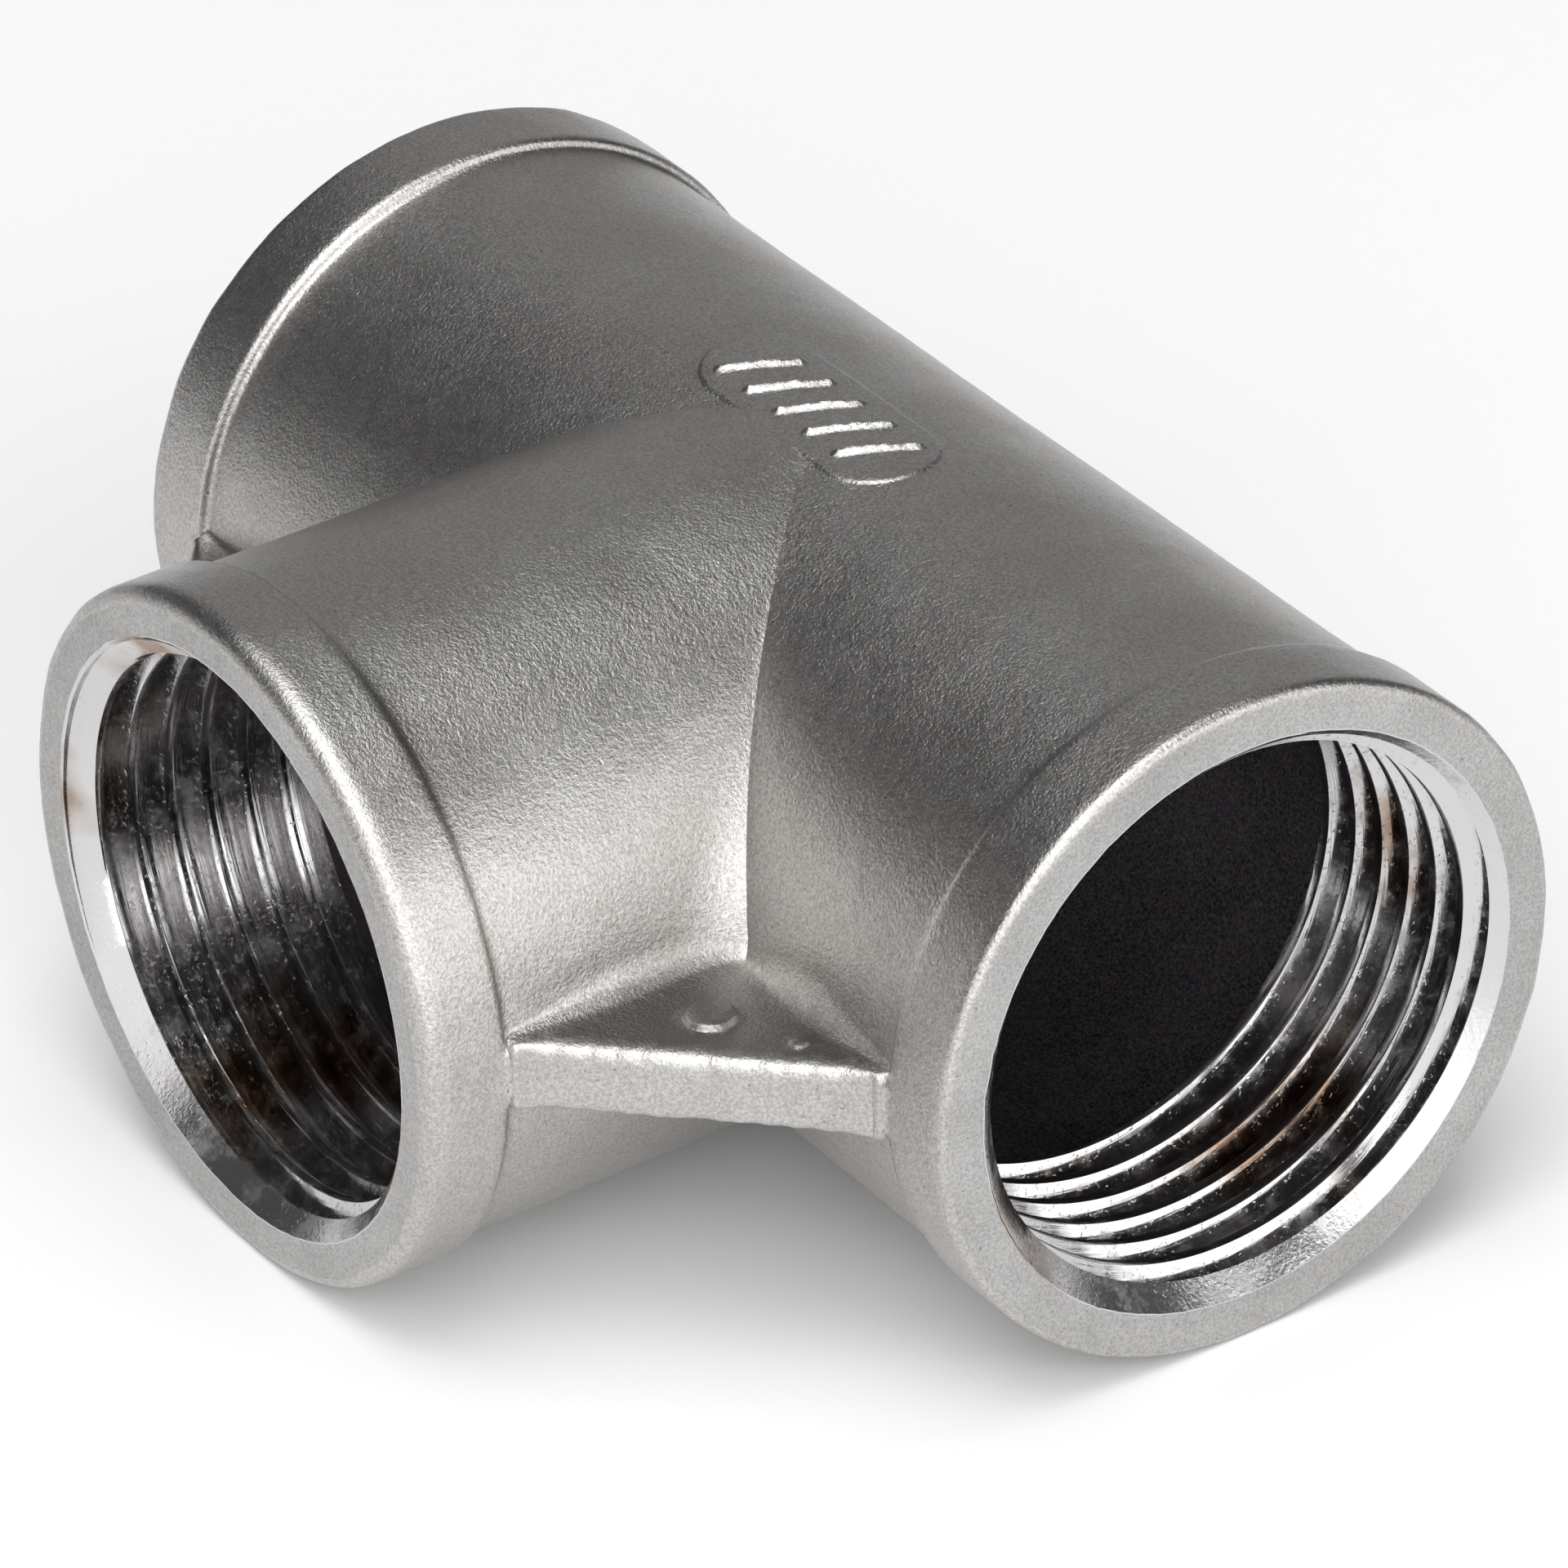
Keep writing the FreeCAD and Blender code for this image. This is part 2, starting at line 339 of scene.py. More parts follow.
def thread_rows(clock):
    """Rows of one thread from mouth to cavity: depth and radius, each (rows, columns)."""
    spread_at_bore = (ROOT_RADIUS - BORE_RADIUS) * math.tan(FLANK)
    root = ROOT_FLAT / 2.0
    open_half = root + spread_at_bore
    marks = np.array([
        [-open_half - CREST_MARGIN, BORE_RADIUS],
        [-open_half, BORE_RADIUS - CREST_BURR],
        [-root - 0.5 * spread_at_bore, (BORE_RADIUS + ROOT_RADIUS) / 2.0],
        [-root, ROOT_RADIUS - CREST_BURR],
        [root, ROOT_RADIUS],
        [root + 0.5 * spread_at_bore, (BORE_RADIUS + ROOT_RADIUS) / 2.0],
        [open_half, BORE_RADIUS - CREST_BURR],
        [open_half + CREST_MARGIN, BORE_RADIUS],
    ])
    centre = PITCH * (clock - START_ANGLE) / (2.0 * math.pi)
    turns = np.arange(-2, int(THREAD_DEPTH / PITCH) + 2)
    offsets = (turns[:, None] * PITCH + marks[:, 0]).ravel()
    depth = np.clip(offsets[:, None] + centre, 0.0, THREAD_DEPTH)
    phase = (depth - centre - marks[0, 0]) % PITCH + marks[0, 0]
    ends = np.append(marks[:, 0], marks[0, 0] + PITCH)
    radii = np.append(marks[:, 1], marks[0, 1])
    groove = np.interp(phase, ends, radii)
    bore_end = BORE_END + BORE_END_WAVE * rough(clock, 3.0, BORE_END_WAVE_SIZE)
    depth = meet_cones(depth, groove, cone_radius(depth, bore_end))
    phase = (depth - centre - marks[0, 0]) % PITCH + marks[0, 0]
    groove = np.interp(phase, ends, radii)
    return depth, np.maximum(cone_radius(depth, bore_end), groove)


def cone_radius(depth, bore_end):
    """Radius of the 45 degree cones at both ends of the bore, whichever is wider."""
    back = np.minimum(BORE_RADIUS + depth - bore_end, CAVITY_RADIUS)
    back = np.where(depth >= THREAD_DEPTH, CAVITY_RADIUS, back)
    return np.maximum(CAVITY_RADIUS - depth, back)


def meet_cones(depth, groove, cone):
    """Moves each row that lies on a cone, next to one in the groove, onto their meeting."""
    gap = groove - cone
    change = (gap[:-1] * gap[1:]) < 0.0
    share = np.where(change, gap[:-1] / np.where(change, gap[:-1] - gap[1:], 1.0), 0.0)
    meeting = depth[:-1] + share * (depth[1:] - depth[:-1])
    moved = depth.copy()
    upper_on_cone = change & (gap[:-1] < 0.0)
    lower_on_cone = change & (gap[1:] < 0.0)
    moved[:-1] = np.where(upper_on_cone, meeting, moved[:-1])
    moved[1:] = np.where(lower_on_cone, meeting, moved[1:])
    return moved


def port_rows(side, clock, end_clock, end_radius):
    """Rows of one port as a list of (kind, x, radius, clock), from the tube to the cavity."""
    rows = []
    quarter = steps(ROUND_STEPS) * math.pi / 2.0
    profile = [(TUBE_END, TUBE_RADIUS)]
    for turn in quarter:
        profile.append((TUBE_END + STEP_LENGTH * math.sin(turn),
                        TUBE_RADIUS + STEP_ROUND * (1.0 - math.cos(turn))))
    for turn in quarter:
        profile.append((TUBE_END + STEP_LENGTH * (2.0 - math.cos(turn)),
                        TUBE_RADIUS + STEP_ROUND + STEP_ROUND * math.sin(turn)))
    for x, radius in profile:
        share = (radius - TUBE_RADIUS) / BAND_HEIGHT
        radii = radius + (end_radius - TUBE_RADIUS) * (1.0 - share)
        rows.append((CAST, x, radii, end_clock + (clock - end_clock) * share))
    band_start = profile[-1][0]
    mean, swing, largest = FACE_ROUNDS[side]
    wave = FACE_WAVE * rough(clock, mean, FACE_WAVE_SIZE)
    face_round = mean + swing * np.cos(clock - largest) + wave
    band_end = CENTRE_TO_FACE - face_round
    for t in steps(BAND_ROWS):
        rows.append((CAST, band_start + (band_end - band_start) * t, BAND_RADIUS, clock))
    for turn in quarter:
        x = band_end + face_round * math.sin(turn)
        radius = BAND_RADIUS - face_round * (1.0 - math.cos(turn))
        rows.append((CAST, x, radius, clock))
    dents = rim_dents(side, clock)
    rim = CAVITY_RADIUS + RIM_GAP + dents
    face_start = BAND_RADIUS - face_round
    for t in steps(FACE_ROWS):
        rows.append((FACE, CENTRE_TO_FACE, face_start + (rim - face_start) * t, clock))
    depth, radius = thread_rows(clock)
    cut = CUT_BRANCH if side == "branch" else CUT_RUN
    radius = radius + dents * np.clip(1.0 - depth / DENT_DEPTH, 0.0, 1.0)
    for row_depth, row_radius in zip(depth, radius):
        rows.append((cut, CENTRE_TO_FACE - row_depth, row_radius, clock))
    return rows


# ---- mesh -----------------------------------------------------------------------------------

class Skin:
    """Collects grids of quads and welds them into one mesh."""

    def __init__(self):
        self.points = []
        self.faces = []
        self.kinds = []
        self.count = 0

    def grid(self, points, kinds, keep=None):
        """Adds quads between neighbouring rows and columns.

        kinds has one value per row gap, or one per quad.
        """
        rows, columns = points.shape[:2]
        index = np.arange(rows * columns).reshape(rows, columns) + self.count
        quads = np.stack([index[:-1, :-1], index[1:, :-1], index[1:, 1:], index[:-1, 1:]], -1)
        kinds = np.asarray(kinds)
        kinds = np.broadcast_to(kinds.reshape(len(kinds), -1), quads.shape[:2])
        keep = np.ones(quads.shape[:2], bool) if keep is None else keep
        self.points.append(points.reshape(-1, 3))
        self.faces.append(quads[keep])
        self.kinds.append(kinds[keep])
        self.count += rows * columns

    def mesh(self):
        mesh = bmesh.new()
        verts = [mesh.verts.new(p) for p in np.concatenate(self.points).tolist()]
        kinds = np.concatenate(self.kinds)
        for quad, kind in zip(np.concatenate(self.faces).tolist(), kinds.tolist()):
            face = mesh.faces.new([verts[i] for i in quad])
            face.material_index = kind
        bmesh.ops.remove_doubles(mesh, verts=mesh.verts, dist=WELD)
        lonely = [v for v in mesh.verts if not v.link_faces]
        bmesh.ops.delete(mesh, geom=lonely, context="VERTS")
        return mesh


def turned(points, angle):
    c, s = math.cos(angle), math.sin(angle)
    x, y, z = points[..., 0], points[..., 1], points[..., 2]
    return np.stack([c * x - s * y, s * x + c * y, z], axis=-1)


def run_halves(lines):
    """A half line's two places on the run: towards the right and the left port."""
    along, away, height = lines[..., 0], lines[..., 1], lines[..., 2]
    return [np.stack([along, -away, height], -1), np.stack([-along, -away, height], -1)]


def branch_halves(lines):
    """A half line's two places on the branch: its right and its left side."""
    along, away, height = lines[..., 0], lines[..., 1], lines[..., 2]
    return [np.stack([away, -along, height], -1), np.stack([-away, -along, height], -1)]


def port_columns(front, back, side):
    """Clock angle on the band, clock angle and radius at the tube's end, for one port.

    Clock angles start at the top and run clockwise as seen from outside the port.
    """
    plain = (back, back, np.full(len(back), TUBE_RADIUS))
    first = front if side in ("left", "branch") else plain
    second = front if side in ("right", "branch") else plain
    band = np.concatenate([first[0], 2.0 * math.pi - second[0][::-1][1:]])
    end = np.concatenate([first[1], 2.0 * math.pi - second[1][::-1][1:]])
    radius = np.concatenate([first[2], second[2][::-1][1:]])
    return band, end, radius


def build_skin():
    skin = Skin()
    lines, (upper_strip, lower_strip), (web_first, web_end) = front_lines("run")
    branch_lines = front_lines("branch")[0]
    # Outside of the front
    line_count, row_count = lines.shape[:2]
    keep = np.ones((line_count - 1, row_count - 1), bool)
    keep[[upper_strip, lower_strip]] = False
    for points in branch_halves(branch_lines):
        skin.grid(points, [CAST] * (line_count - 1), keep)
    keep = keep.copy()
    keep[:TOP_LINES, :ARC_ROWS + PAD_ROWS] = False
    for points in run_halves(lines):
        skin.grid(points, [CAST] * (line_count - 1), keep)
    # Outside of the back
    back, back_turns = back_lines(lines[TOP_LINES, :, 0], lines[-1, :, 0])
    keep = np.ones((len(back) - 1, back.shape[1] - 1), bool)
    keep[:TOP_LINES, :PAD_ROWS] = False
    for points in run_halves(back):
        skin.grid(points, [CAST] * (len(back) - 1), keep)
    # Ports
    ends = lines[:, -1]
    end_turn = np.arctan2(ends[:, 1], ends[:, 2])
    end_radius = np.hypot(ends[:, 1], ends[:, 2])
    band_turn = end_turn.copy()
    band_turn[web_first:web_end] = np.linspace(
        end_turn[web_first], end_turn[web_end - 1], web_end - web_first)
    front = (band_turn, end_turn, end_radius)
    for side, turn in PORT_TURNS.items():
        clock, end_clock, radius = port_columns(front, back_turns, side)
        rows = port_rows(side, clock, end_clock, radius)
        grid = np.stack([port_ring(x, radii, clocks) for _, x, radii, clocks in rows])
        kinds = np.repeat([[row[0]] for row in rows[1:]], len(clock) - 1, axis=1)
        kinds[(kinds != CAST) & (kinds != FACE) & on_lead_in(grid)] = LEAD_IN
        skin.grid(turned(grid, turn), kinds)
    # Cavity
    for name, turns in (("front", band_turn), ("back", back_turns)):
        offset = CAVITY_RADIUS * np.sin(turns)[:, None]
        rounding = CAVITY_CORNER * offset / CAVITY_RADIUS
        along, away = corner_line(
            offset, rounding, CAVITY_END, CAVITY_ARC_ROWS, CAVITY_ROWS)
        if name == "back":
            along = np.broadcast_to(along[0, CAVITY_ARC_ROWS:], (len(turns), CAVITY_ROWS + 1))
            away = -offset + 0.0 * along
        height = CAVITY_RADIUS * np.cos(turns)[:, None] + 0.0 * along
        points = np.stack([along, away, height], -1)
        halves = run_halves(points)
        if name == "front":
            halves += branch_halves(points)
        for half in halves:
            skin.grid(half, [CAVITY] * (len(turns) - 1))
    return skin.mesh()


def on_lead_in(grid):
    """Which quads of a port's grid lie on the cone behind the face."""
    depth = CENTRE_TO_FACE - grid[..., 0]
    radius = np.hypot(grid[..., 1], grid[..., 2])
    on_cone = np.abs(radius + depth - CAVITY_RADIUS) < CONE_TOLERANCE
    close = on_cone | (depth < DENT_DEPTH)
    return close[:-1, :-1] & close[1:, :-1] & close[1:, 1:] & close[:-1, 1:]


def port_ring(x, radius, clock):
    """Points of one row in the +X port's own frame."""
    radius = np.broadcast_to(radius, clock.shape)
    x = np.broadcast_to(x, clock.shape)
    return np.stack([x, radius * np.sin(clock), radius * np.cos(clock)], axis=-1)


# ---- patches with raised marks ----------------------------------------------------------------

def smooth(t):
    t = np.clip(t, 0.0, 1.0)
    return t * t * (3.0 - 2.0 * t)


def bar_distance(x, y, bar):
    """Distance outside the outline of a bar with round ends, negative inside it."""
    centre_x, centre_y, half, radius, slant = bar
    ux, uy = math.cos(slant), math.sin(slant)
    along = np.clip((x - centre_x) * ux + (y - centre_y) * uy, -half, half)
    return np.hypot(x - centre_x - along * ux, y - centre_y - along * uy) - radius


def bar_ring(bar, offset, spacing):
    """Plan points round a bar's outline, moved outward by offset."""
    centre_x, centre_y, half, radius, slant = bar
    radius += offset
    side = max(1, round(2.0 * half / spacing))
    cap = max(6, round(math.pi * radius / spacing))
    turn = math.pi * np.arange(cap) / cap - math.pi / 2.0
    end = np.stack([half + radius * np.cos(turn), radius * np.sin(turn)], -1)
    straight = half - 2.0 * half * np.arange(side) / side
    far = np.stack([straight, np.full(side, radius)], -1)
    ring = np.concatenate([end, far]) if half > 0.0 else end
    ring = np.concatenate([ring, -ring])
    ux, uy = math.cos(slant), math.sin(slant)
    return np.stack([centre_x + ring[:, 0] * ux - ring[:, 1] * uy,
                     centre_y + ring[:, 0] * uy + ring[:, 1] * ux], -1)


def inside(points, outline):
    """Which plan points lie inside a closed outline."""
    x, y = points[:, 0:1], points[:, 1:2]
    ax, ay = outline[:, 0], outline[:, 1]
    bx, by = np.roll(ax, -1), np.roll(ay, -1)
    crosses = (ay > y) != (by > y)
    at = ax + (y - ay) * (bx - ax) / np.where(by == ay, 1.0, by - ay)
    return (crosses & (x < at)).sum(axis=1) % 2 == 1


def outline_distance(points, outline):
    """Distance of each plan point from a closed outline."""
    start = outline[None]
    step = np.roll(outline, -1, axis=0)[None] - start
    away = points[:, None] - start
    share = np.clip((away * step).sum(-1) / (step ** 2).sum(-1), 0.0, 1.0)
    return np.linalg.norm(away - share[..., None] * step, axis=-1).min(axis=1)


def boundary_loops(mesh):
    """Closed loops of open edges, each a list of vertices in order.

    The edges wait in a dictionary, which keeps their order, so every run gives the same loops.
    """
    waiting = {edge: None for edge in mesh.edges if edge.is_boundary}
    loops = []
    while waiting:
        edge = next(iter(waiting))
        del waiting[edge]
        start, here = edge.verts
        loop = [start]
        while here is not start:
            loop.append(here)
            edge = next(e for e in here.link_edges if e in waiting)
            del waiting[edge]
            here = edge.other_vert(here)
        loops.append(loop)
    return loops


def fill_patch(mesh, loop, rings, spacing, height):
    """Fills a hole with triangles that follow the rings. height gives z for plan points."""
    outline = np.array([v.co[:2] for v in loop])
    points = [outline]
    edges = []
    count = len(outline)
    for ring in rings:
        edges += [(count + i, count + (i + 1) % len(ring)) for i in range(len(ring))]
        points.append(ring)
        count += len(ring)
    fixed = np.concatenate(points)
    low, high = outline.min(0), outline.max(0)
    xs, ys = np.meshgrid(np.arange(low[0], high[0], spacing),
                         np.arange(low[1], high[1], spacing * ROW_SHARE))
    xs[1::2] += spacing / 2.0
    loose = np.stack([xs.ravel(), ys.ravel()], -1)
    loose = loose[inside(loose, outline)]
    loose = loose[outline_distance(loose, outline) > OUTLINE_GAP * spacing]
    loose = loose[[np.hypot(*(fixed - p).T).min() > MARK_GAP * spacing for p in loose]]
    plan = np.concatenate([fixed, loose])
    found = delaunay_2d_cdt([Vector(p) for p in plan], edges,
                            [list(range(len(outline)))], 1, 1e-6)
    heights = height(plan[:, 0], plan[:, 1])
    verts = {}
    for new, sources in enumerate(found[3]):
        source = min(sources)
        if source < len(loop):
            verts[new] = loop[source]
        else:
            verts[new] = mesh.verts.new((plan[source, 0], plan[source, 1], heights[source]))
    for triangle in found[2]:
        face = mesh.faces.new([verts[i] for i in triangle])
        face.material_index = CAST


def pad_bars():
    pad = (0.0, 0.0, (PAD_LENGTH - PAD_WIDTH) / 2.0, PAD_WIDTH / 2.0, 0.0)
    half = (RIB_LENGTH - RIB_WIDTH) / 2.0
    ribs = []
    for index in range(RIB_COUNT):
        x = RIB_SPACING * (index - (RIB_COUNT - 1) / 2.0)
        ribs.append((x, 0.0, half, RIB_WIDTH / 2.0, math.pi / 2.0 - RIB_SLANT))
    return pad, ribs


def pad_height(x, y):
    """Top of the casting round the crossing, with the low pad and its ribs."""
    pad, ribs = pad_bars()
    lifted = PAD_HEIGHT * smooth(0.5 - bar_distance(x, y, pad) / PAD_WALL)
    run = np.sqrt(TUBE_RADIUS ** 2 - y ** 2) + lifted
    branch = np.sqrt(TUBE_RADIUS ** 2 - x ** 2)
    blend = BLEND_AT_CREASE * np.clip(-y / PAD_HALF_HOLE, 0.0, 1.0)
    joined = (run + branch + np.sqrt((run - branch) ** 2 + blend ** 2)) / 2.0
    surface = np.where(y < 0.0, joined, run)
    reach = RIB_WIDTH / 2.0 + RIB_FOOT
    raised = sum(smooth((RIB_FOOT - bar_distance(x, y, rib)) / reach) for rib in ribs)
    worn = [1.0 + RIB_WEAR * noise.noise(Vector((RIB_WEAR_PER_MM * a, RIB_WEAR_PER_MM * b, 0.0)))
            for a, b in zip(x, y)]
    return surface + RIB_HEIGHT * raised * worn


def web_height(level, marks):
    """Flat side of a web at the given height, with round pads on it."""
    def height(x, y):
        pads = 0.0 * x
        for centre_x, centre_y, radius, rise in marks:
            pad = (centre_x, centre_y, 0.0, radius, 0.0)
            pads = pads + rise * smooth(0.5 - bar_distance(x, y, pad) / MARK_WALL)
        return level + pads
    return height


def wall_rings(bar, wall, spacing):
    return [bar_ring(bar, wall * share, spacing) for share in WALL_SHARES]


def fill_patches(mesh):
    for loop in boundary_loops(mesh):
        centre = sum((v.co for v in loop), Vector()) / len(loop)
        if centre.z > 2.0 * WEB_HALF:
            pad, ribs = pad_bars()
            rings = wall_rings(pad, PAD_WALL, 0.3)
            for rib in ribs:
                rings += [bar_ring(rib, RIB_FOOT - inward, 0.2) for inward in RIB_RINGS]
            fill_patch(mesh, loop, rings, PAD_SPACING, pad_height)
            continue
        marks = WEB_MARKS if centre.x > 0.0 and centre.z > 0.0 else ()
        rings = []
        for x, y, radius, _ in marks:
            rings += wall_rings((x, y, 0.0, radius, 0.0), MARK_WALL, 0.2)
        level = math.copysign(WEB_HALF, centre.z)
        fill_patch(mesh, loop, rings, WEB_SPACING, web_height(level, marks))


# ---- unevenness of the casting --------------------------------------------------------------

# Cast skin: how often it waves and ripples per millimetre, and how high, in millimetres
WAVE_PER_MM, WAVE_HEIGHT = 0.16, 0.07
RIPPLE_PER_MM, RIPPLE_HEIGHT = 0.55, 0.022
FACE_SHARE = 0.35

# Pockets on the webs, where shade is painted into the skin's colour: where the painted shade
# starts beside the tube, inside the edge and above
POCKET_START, POCKET_RAMP = 0.2, 1.3
POCKET_EDGE, POCKET_EDGE_RAMP = 0.2, 0.5
POCKET_HEIGHT, POCKET_HEIGHT_RAMP = 2.0 * WEB_HALF, 1.6


def uneven(point):
    """Height of the cast skin's slow waves and shallow dimples at a point, in millimetres."""
    waves = noise.noise(point * WAVE_PER_MM) * WAVE_HEIGHT
    ripples = noise.fractal(point * RIPPLE_PER_MM, 0.8, 2.1, 3) * RIPPLE_HEIGHT
    return waves + ripples


def roughen(mesh):
    """Moves the cast skin in and out, but not the cut thread, and not below the resting plane."""
    mesh.normal_update()
    machined = {CUT_RUN, CUT_BRANCH, LEAD_IN}
    moves = []
    for vert in mesh.verts:
        kinds = {face.material_index for face in vert.link_faces}
        if kinds & machined:
            continue
        share = FACE_SHARE if FACE in kinds else 1.0
        moves.append((vert, vert.normal * (share * uneven(vert.co))))
    for vert, move in moves:
        vert.co += move
        vert.co.z = max(vert.co.z, -BAND_RADIUS)


def painted_pocket_shade(data):
    """Marks how far each vertex lies in the pockets on the webs, where shade is painted darker
    into the skin's colour.
    """
    places = np.empty(3 * len(data.vertices))
    data.vertices.foreach_get("co", places)
    x, y, z = places.reshape(-1, 3).T
    behind = smooth((np.minimum(np.abs(x), -y) - TUBE_RADIUS + POCKET_START) / POCKET_RAMP)
    edge = WEB_REACH - WEB_EDGE - POCKET_EDGE
    inside_edge = smooth((edge - np.abs(x) + y) / POCKET_EDGE_RAMP)
    low = smooth((POCKET_HEIGHT - np.abs(z)) / POCKET_HEIGHT_RAMP)
    share = data.attributes.new("painted_pocket_shade", "FLOAT", "POINT")
    share.data.foreach_set("value", (behind * inside_edge * low).astype(np.float32))


# ---- materials ------------------------------------------------------------------------------

# Noise patterns: scale in cells per metre, octaves of detail, and how rough the detail is
STAINS = (130.0, 5.0, 0.62)
FINE_GRAIN = (5600.0, 3.0, 0.65)
SPECKS = (4300.0, 2.0, 0.6)
SHEEN_PATCHES = (900.0, 3.0, 0.55)
LUMPS = (2100.0, 4.0, 0.7)
PITS = (900.0, 2.0, 0.5)
TINTS = (95.0, 3.0, 0.55)
SMEARS = (520.0, 5.0, 0.7)
TOOL_MARKS = (4200.0, 3.0, 0.6)
TORN_SPOTS = (3400.0, 3.0, 0.6)
# Depths in metres, and shares of a colour or of the grain's depth
PIT_DEPTH = 0.00003
TOOL_DEPTH = 0.00002
TORN_DEPTH = 0.000008
LUMP_SHARE = 1.1
DUST_SHARE = 0.40
# How far the painted shade in the web pockets darkens the skin towards the speck colour
PAINTED_SHADE_STRENGTH = 0.6
# Colours of cut steel
BURNT = (0.30, 0.21, 0.16)
WARM = (0.50, 0.46, 0.43)
CLEAN = (0.62, 0.61, 0.61)
DULL_STEEL = (0.30, 0.30, 0.31)


def material(name):
    mat = bpy.data.materials.new(name)
    mat.use_nodes = True
    nodes = mat.node_tree.nodes
    shader = nodes["Principled BSDF"]
    shader.inputs["Metallic"].default_value = 1.0
    return mat, nodes, mat.node_tree.links, shader


def object_coords(nodes, links, stretch=None):
    """Coordinates in metres on the piece; stretch scales them per axis."""
    coords = nodes.new("ShaderNodeTexCoord").outputs["Object"]
    if stretch is None:
        return coords
    node = nodes.new("ShaderNodeMapping")
    node.inputs["Scale"].default_value = stretch
    links.new(coords, node.inputs["Vector"])
    return node.outputs["Vector"]


def noise_value(nodes, links, scale, detail, roughness, stretch=None):
    node = nodes.new("ShaderNodeTexNoise")
    node.inputs["Scale"].default_value = scale
    node.inputs["Detail"].default_value = detail
    node.inputs["Roughness"].default_value = roughness
    links.new(object_coords(nodes, links, stretch), node.inputs["Vector"])
    return node.outputs["Fac"]


def ramp(nodes, links, source, stops):
    node = nodes.new("ShaderNodeValToRGB")
    elements = node.color_ramp.elements
    while len(elements) < len(stops):
        elements.new(0.5)
    for element, (place, colour) in zip(elements, stops):
        element.position = place
        element.color = (*colour, 1.0)
    links.new(source, node.inputs["Fac"])
    return node.outputs["Color"]


def mapped(nodes, links, source, low, high, to_low, to_high):
    node = nodes.new("ShaderNodeMapRange")
    node.inputs["From Min"].default_value = low
    node.inputs["From Max"].default_value = high
    node.inputs["To Min"].default_value = to_low
    node.inputs["To Max"].default_value = to_high
    links.new(source, node.inputs["Value"])
    return node.outputs["Result"]


def blended(nodes, links, share, first, second):
    """Colour that goes from the first to the second as share goes from 0 to 1."""
    node = nodes.new("ShaderNodeMix")
    node.data_type = "RGBA"
    links.new(share, node.inputs["Factor"])
    for socket, value in ((node.inputs[6], first), (node.inputs[7], second)):
        if isinstance(value, tuple):
            socket.default_value = (*value, 1.0)
        else:
            links.new(value, socket)
    return node.outputs[2]


def bumps(nodes, links, layers):
    """Normal made of layers of (height value, depth in metres), first layer lowest."""
    below = None
    for source, depth in layers:
        node = nodes.new("ShaderNodeBump")
        node.inputs["Strength"].default_value = 1.0
        node.inputs["Distance"].default_value = depth
        links.new(source, node.inputs["Height"])
        if below is not None:
            links.new(below, node.inputs["Normal"])
        below = node.outputs["Normal"]
    return below


def blasted_steel(name, dark, light, sheen, grain, speck_and_shade_colour):
    """Stainless cast skin after grit blasting: fine grain, faint stains, tiny pits, and shade
    painted into the pockets on the webs.

    dark and light are the steel's colours; the speck colour is that of dust and specks, and also
    of the shade painted into the pockets on the webs. sheen is the lowest and highest roughness,
    grain the depth of the grain in metres.
    """
    mat, nodes, links, shader = material(name)
    stains = noise_value(nodes, links, *STAINS)
    steel = ramp(nodes, links, stains, [(0.36, dark), (0.62, light)])
    fine = noise_value(nodes, links, *FINE_GRAIN)
    dust = mapped(nodes, links, fine, 0.38, 0.62, DUST_SHARE, 0.0)
    specks = noise_value(nodes, links, *SPECKS)
    speck_share = mapped(nodes, links, specks, 0.66, 0.76, 0.0, 0.8)
    colour = blended(nodes, links, dust, steel, speck_and_shade_colour)
    colour = blended(nodes, links, speck_share, colour, speck_and_shade_colour)
    # Painted shade: the skin is darkened towards the speck colour in the pockets on the webs,
    # where shade falls between web and tube
    pocket_shade_node = nodes.new("ShaderNodeAttribute")
    pocket_shade_node.attribute_name = "painted_pocket_shade"
    share = mapped(nodes, links, pocket_shade_node.outputs["Fac"], 0.0, 1.0, 0.0, PAINTED_SHADE_STRENGTH)
    links.new(blended(nodes, links, share, colour, speck_and_shade_colour), shader.inputs["Base Color"])
    patches = noise_value(nodes, links, *SHEEN_PATCHES)
    links.new(mapped(nodes, links, patches, 0.35, 0.65, *sheen), shader.inputs["Roughness"])
    lumps = noise_value(nodes, links, *LUMPS)
    pits = noise_value(nodes, links, *PITS)
    sunk = mapped(nodes, links, pits, 0.75, 0.82, 0.0, -1.0)
    normal = bumps(nodes, links, [(lumps, LUMP_SHARE * grain), (fine, grain), (sunk, PIT_DEPTH)])
    links.new(normal, shader.inputs["Normal"])
    return mat


def cut_steel(name, stretch, gloss):
    """Cut thread or lead-in: bright, with fine tool marks, burnt tints and dull smears.

    gloss is the roughness where the steel is clean and where it is smeared.
    """
    mat, nodes, links, shader = material(name)
    tints = noise_value(nodes, links, *TINTS)
    steel = ramp(nodes, links, tints, [(0.32, BURNT), (0.40, WARM), (0.47, CLEAN)])
    smears = noise_value(nodes, links, *SMEARS)
    share = mapped(nodes, links, smears, 0.62, 0.70, 0.0, 0.35)
    links.new(blended(nodes, links, share, steel, DULL_STEEL), shader.inputs["Base Color"])
    roughness = mapped(nodes, links, smears, 0.48, 0.66, *gloss)
    links.new(roughness, shader.inputs["Roughness"])
    tool = noise_value(nodes, links, *TOOL_MARKS, stretch)
    torn = noise_value(nodes, links, *TORN_SPOTS)
    torn = mapped(nodes, links, torn, 0.60, 0.72, 0.0, 1.0)
    links.new(bumps(nodes, links, [(tool, TOOL_DEPTH), (torn, TORN_DEPTH)]),
              shader.inputs["Normal"])
    return mat


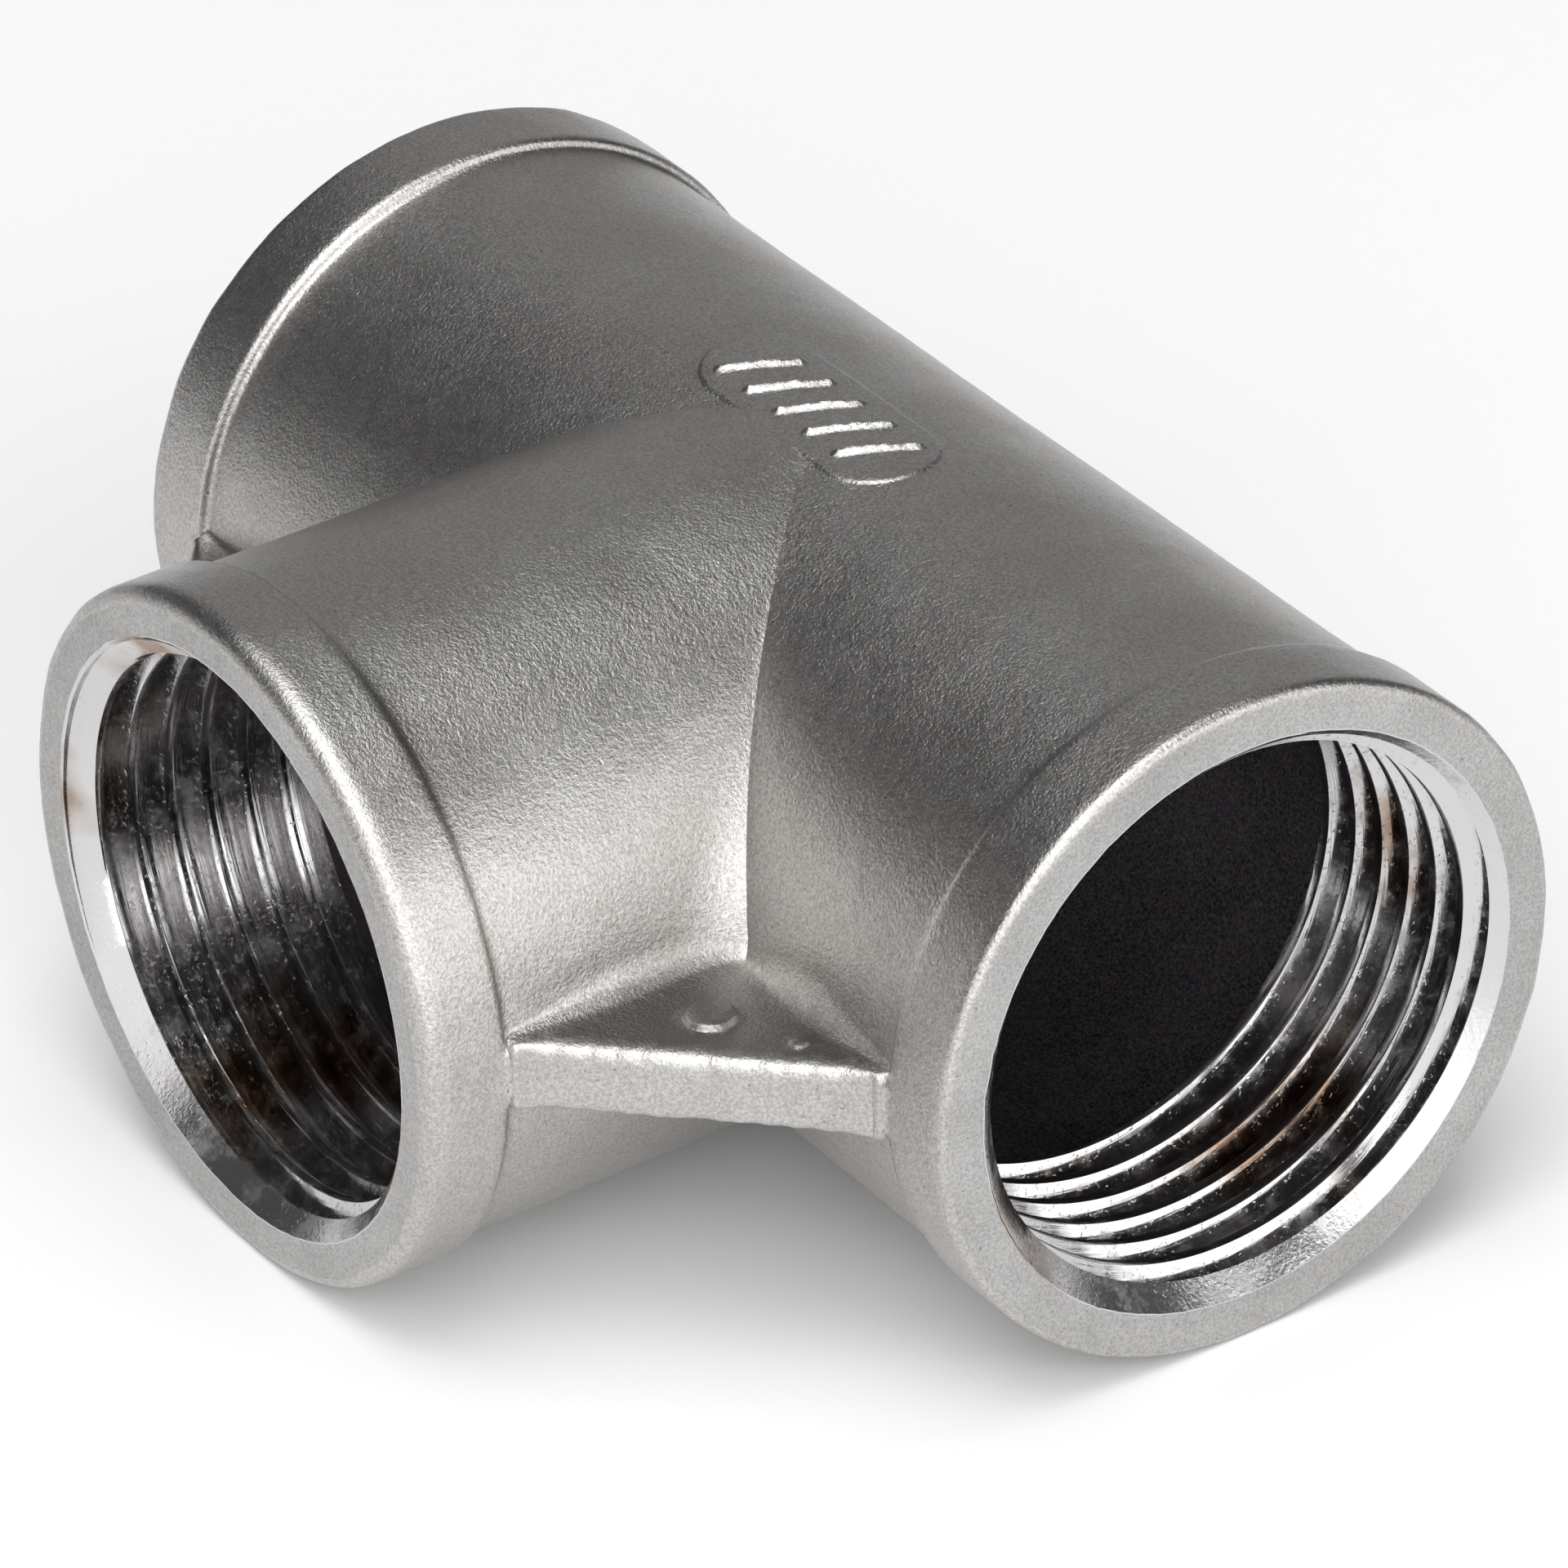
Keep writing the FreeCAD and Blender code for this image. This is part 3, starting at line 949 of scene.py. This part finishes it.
FLOOR_HALF = 3.0
FLOOR_COLOUR = (0.88, 0.88, 0.885, 1.0)
FLOOR_ROUGHNESS = 0.6
WORLD_COLOUR = (0.97, 0.97, 1.0, 1.0)
WORLD_BRIGHTNESS = 0.08


def floor_paint():
    mat, _, _, shader = material("studio_floor")
    shader.inputs["Metallic"].default_value = 0.0
    shader.inputs["Base Color"].default_value = FLOOR_COLOUR
    shader.inputs["Roughness"].default_value = FLOOR_ROUGHNESS
    return mat


# ---- the casting ----------------------------------------------------------------------------

def make_casting():
    skin = build_skin()
    fill_patches(skin)
    bmesh.ops.recalc_face_normals(skin, faces=skin.faces)
    roughen(skin)
    data = bpy.data.meshes.new("tee_casting")
    skin.to_mesh(data)
    skin.free()
    # Marks where shade is painted into the pockets on the webs
    painted_pocket_shade(data)
    data.transform(Matrix.Scale(MM, 4) @ Matrix.Translation(CROSSING))
    data.shade_smooth()
    data.set_sharp_from_angle(angle=SHARP_ANGLE)
    casting = bpy.data.objects.new("tee_casting", data)
    bpy.context.scene.collection.objects.link(casting)
    for mat in (
        blasted_steel("cast_skin", dark=(0.53, 0.515, 0.495), light=(0.58, 0.57, 0.555),
                      sheen=(0.28, 0.32), grain=0.000042, speck_and_shade_colour=(0.12, 0.105, 0.10)),
        cut_steel("cut_thread_run", stretch=(1.0, 0.02, 0.02), gloss=(0.12, 0.30)),
        cut_steel("cut_thread_branch", stretch=(0.02, 1.0, 0.02), gloss=(0.12, 0.30)),
        blasted_steel("port_face", dark=(0.46, 0.455, 0.445), light=(0.54, 0.535, 0.525),
                      sheen=(0.42, 0.50), grain=0.00004, speck_and_shade_colour=(0.16, 0.15, 0.15)),
        # The cavity's near-black colours are painted shade: they stand in for the shade inside the
        # casting, not for the steel's own colour
        blasted_steel("cavity_painted_shade", dark=(0.030, 0.028, 0.043), light=(0.060, 0.056, 0.080),
                      sheen=(0.5, 0.6), grain=0.00006, speck_and_shade_colour=(0.4, 0.36, 0.33)),
        cut_steel("lead_in", stretch=(1.0, 1.0, 1.0), gloss=(0.20, 0.38)),
    ):
        data.materials.append(mat)
    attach(casting, "root")
    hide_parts(CAD_NODE)


# ---- stage ----------------------------------------------------------------------------------

# Camera: place from the crossing in millimetres, turn in degrees, and lens in millimetres
CAMERA_PLACE = Vector((386.95, -259.87, 291.20))
CAMERA_TURN = (57.583, 1.438, 55.506)
LENS = 234.608
SENSOR_WIDTH = 36.0


def make_camera():
    data = bpy.data.cameras.new("camera")
    data.lens = LENS
    data.sensor_width = SENSOR_WIDTH
    data.clip_start = 0.01
    camera = bpy.data.objects.new("camera", data)
    camera.location = (CAMERA_PLACE + CROSSING) * MM
    camera.rotation_euler = Euler([math.radians(a) for a in CAMERA_TURN])
    bpy.context.scene.collection.objects.link(camera)
    bpy.context.scene.camera = camera


# Name, azimuth from +X and elevation in degrees, width and height as shares of the distance,
# and brightness
LAMPS = (
    ("front_left_card", -72.0, 22.0, (0.83, 0.91), 1.15),
    ("front_card", -24.0, 22.0, (0.89, 0.94), 2.35),
    ("right_card", 26.0, 18.0, (0.80, 0.76), 2.05),
    ("key", -50.0, 60.0, (0.70, 0.62), 3.0),
    ("overhead", -66.0, 82.0, (0.80, 0.80), 2.5),
    ("back_left_card", 142.0, 25.0, (0.80, 0.78), 0.29),
)
LAMP_DISTANCE = 2.0


def softbox(name, azimuth, elevation, shares, brightness):
    """Rectangular lamp that looks at the casting from a direction."""
    data = bpy.data.lights.new(name, "AREA")
    data.shape = "RECTANGLE"
    data.size, data.size_y = (share * LAMP_DISTANCE for share in shares)
    data.energy = brightness * math.pi * data.size * data.size_y
    lamp = bpy.data.objects.new(name, data)
    a, e = math.radians(azimuth), math.radians(elevation)
    aim = Vector((math.cos(a) * math.cos(e), math.sin(a) * math.cos(e), math.sin(e)))
    lamp.location = CROSSING * MM + aim * LAMP_DISTANCE
    lamp.rotation_euler = aim.to_track_quat("Z", "Y").to_euler()
    bpy.context.scene.collection.objects.link(lamp)


def make_stage():
    floor_mesh = bmesh.new()
    bmesh.ops.create_grid(floor_mesh, x_segments=1, y_segments=1, size=FLOOR_HALF)
    data = bpy.data.meshes.new("floor")
    floor_mesh.to_mesh(data)
    floor_mesh.free()
    floor = bpy.data.objects.new("floor", data)
    bpy.context.scene.collection.objects.link(floor)
    data.materials.append(floor_paint())
    for lamp in LAMPS:
        softbox(*lamp)
    world = bpy.data.worlds.new("studio")
    world.use_nodes = True
    background = world.node_tree.nodes["Background"]
    background.inputs["Color"].default_value = WORLD_COLOUR
    background.inputs["Strength"].default_value = WORLD_BRIGHTNESS
    bpy.context.scene.world = world
    bpy.context.scene.view_settings.view_transform = "Standard"


make_casting()
make_camera()
make_stage()
